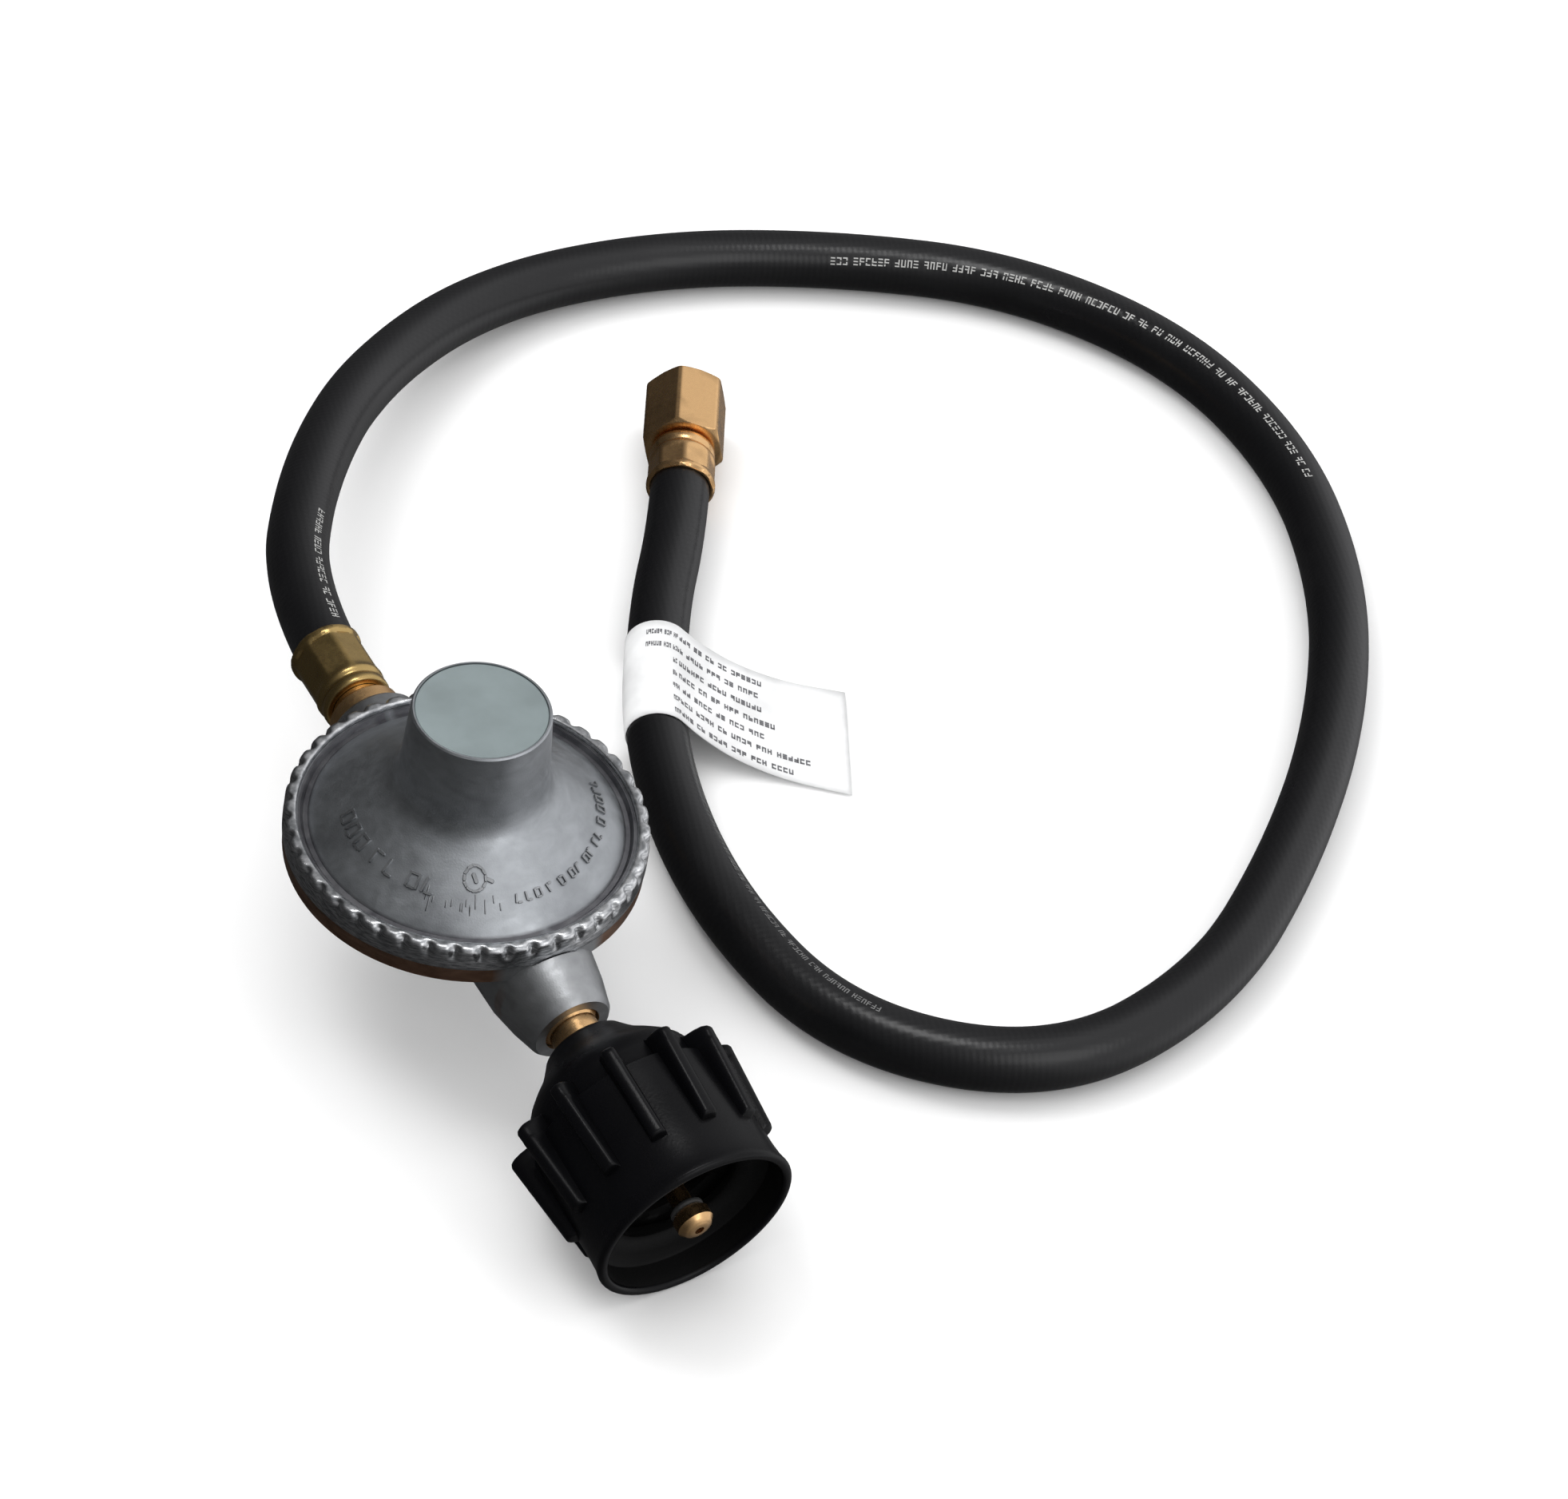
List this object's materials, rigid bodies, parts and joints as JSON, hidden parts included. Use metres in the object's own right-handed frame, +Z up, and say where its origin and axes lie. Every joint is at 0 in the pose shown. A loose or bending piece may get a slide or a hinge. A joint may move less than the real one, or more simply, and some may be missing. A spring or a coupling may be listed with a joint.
{
  "type": "propane regulator hose",
  "caption": "Low-pressure gas regulator with a ribbed tank nut on its inlet and a rubber hose that ends in a swivel flare nut.",
  "frame": {"origin": "on the surface that the nut and the hose lie on, under the middle of the regulator with its nut and outlet ferrule", "axes": "+Z up along the spring tower, -Y towards the tank nut, whose axis points 6.5 degrees down, +Y towards the outlet, which is turned 2.8 degrees from it towards +X"},
  "size_m": [0.3293, 0.3127, 0.0807],
  "materials": {
    "cast_metal": "die cast, dull",
    "rim_metal": "rolled bright",
    "steel": "zinc plated",
    "spring_steel": "drawn wire",
    "brass": "machined",
    "black_plastic": "satin",
    "inner_plastic": "moulded",
    "cap_plastic": "matt",
    "diaphragm_rubber": "matt",
    "seal_rubber": "smooth",
    "hose_rubber": "smooth, faint sheen",
    "label_paper": "printed film"
  },
  "bodies": {
    "regulator": {"lower_body": "cast_metal", "cover": "cast_metal", "crimp_ring": "rim_metal", "closing_cap": "cap_plastic", "vent_screen": "steel", "diaphragm": "diaphragm_rubber", "main_spring": "spring_steel", "lever_pin": "steel", "orifice": "brass", "inlet_nipple": "brass", "check_spring": "spring_steel", "probe": "brass", "nose_seal": "seal_rubber", "thermal_bushing": "black_plastic", "outlet_barb": "brass", "outlet_ferrule": "brass", "hose": "hose_rubber", "label_tag": "label_paper", "end_ferrule": "brass", "end_stem": "brass"},
    "relief_post": {"relief_stem": "brass", "relief_nut": "brass"},
    "diaphragm_plate": {"diaphragm_plate": "steel", "relief_spring": "spring_steel"},
    "lever": {"lever": "steel"},
    "valve": {"valve_holder": "brass", "seat_disc": "diaphragm_rubber"},
    "spring_seat": {"upper_spring_seat": "steel"},
    "adjusting_screw": {"adjusting_screw": "inner_plastic"},
    "check_poppet": {"check_poppet": "brass"},
    "tank_nut": {"tank_nut": "black_plastic"},
    "flare_nut": {"flare_nut": "brass"}
  },
  "joints": [
    {"name": "diaphragm_travel", "type": "slide", "parent": "regulator", "child": "relief_post", "axis": [0, 0, 1], "range_m": [-0.0018, 0.0018], "stiffness_N_per_m": 800, "deforming": ["diaphragm", "main_spring"]},
    {"name": "relief_lift", "type": "slide", "parent": "relief_post", "child": "diaphragm_plate", "axis": [0, 0, 1], "range_m": [0, 0.0015], "stiffness_N_per_m": 500, "springref_m": -0.0005, "deforming": ["relief_spring"]},
    {"name": "lever_swing", "type": "hinge", "parent": "regulator", "child": "lever", "pos_m": [0, 0.0035, 0.02625], "axis": [1, 0, 0], "range_deg": [-7.5, 7.5]},
    {"name": "valve_travel", "type": "slide", "parent": "regulator", "child": "valve", "axis": [0, 1, 0], "range_m": [-0.0008, 0.0008]},
    {"name": "spring_seat_travel", "type": "slide", "parent": "regulator", "child": "spring_seat", "axis": [0, 0, 1], "range_m": [-0.004, 0.001]},
    {"name": "adjusting_screw_turn", "type": "hinge", "parent": "spring_seat", "child": "adjusting_screw", "pos_m": [0, 0.0175, 0.0732], "axis": [0, 0, 1], "range_deg": [-961, 241]},
    {"name": "check_travel", "type": "slide", "parent": "regulator", "child": "check_poppet", "axis": [0, -0.9936, -0.1132], "range_m": [-0.0034, 0], "stiffness_N_per_m": 100, "springref_m": 0.002, "deforming": ["check_spring"]},
    {"name": "tank_nut_spin", "type": "hinge", "parent": "regulator", "child": "tank_nut", "pos_m": [0, -0.06415, 0.02602], "axis": [0, -0.9936, -0.1132], "continuous": true},
    {"name": "flare_nut_spin", "type": "hinge", "parent": "regulator", "child": "flare_nut", "pos_m": [0.13857, 0.14916, 0.01105], "axis": [0.5407, 0.8403, 0.0396], "continuous": true}
  ],
  "couplings": [
    {"joint": "lever_swing", "follows": "diaphragm_travel", "rad_per_m": 71.429},
    {"joint": "valve_travel", "follows": "diaphragm_travel", "ratio": -0.42857},
    {"joint": "adjusting_screw_turn", "follows": "spring_seat_travel", "rad_per_m": 4188.8}
  ]
}
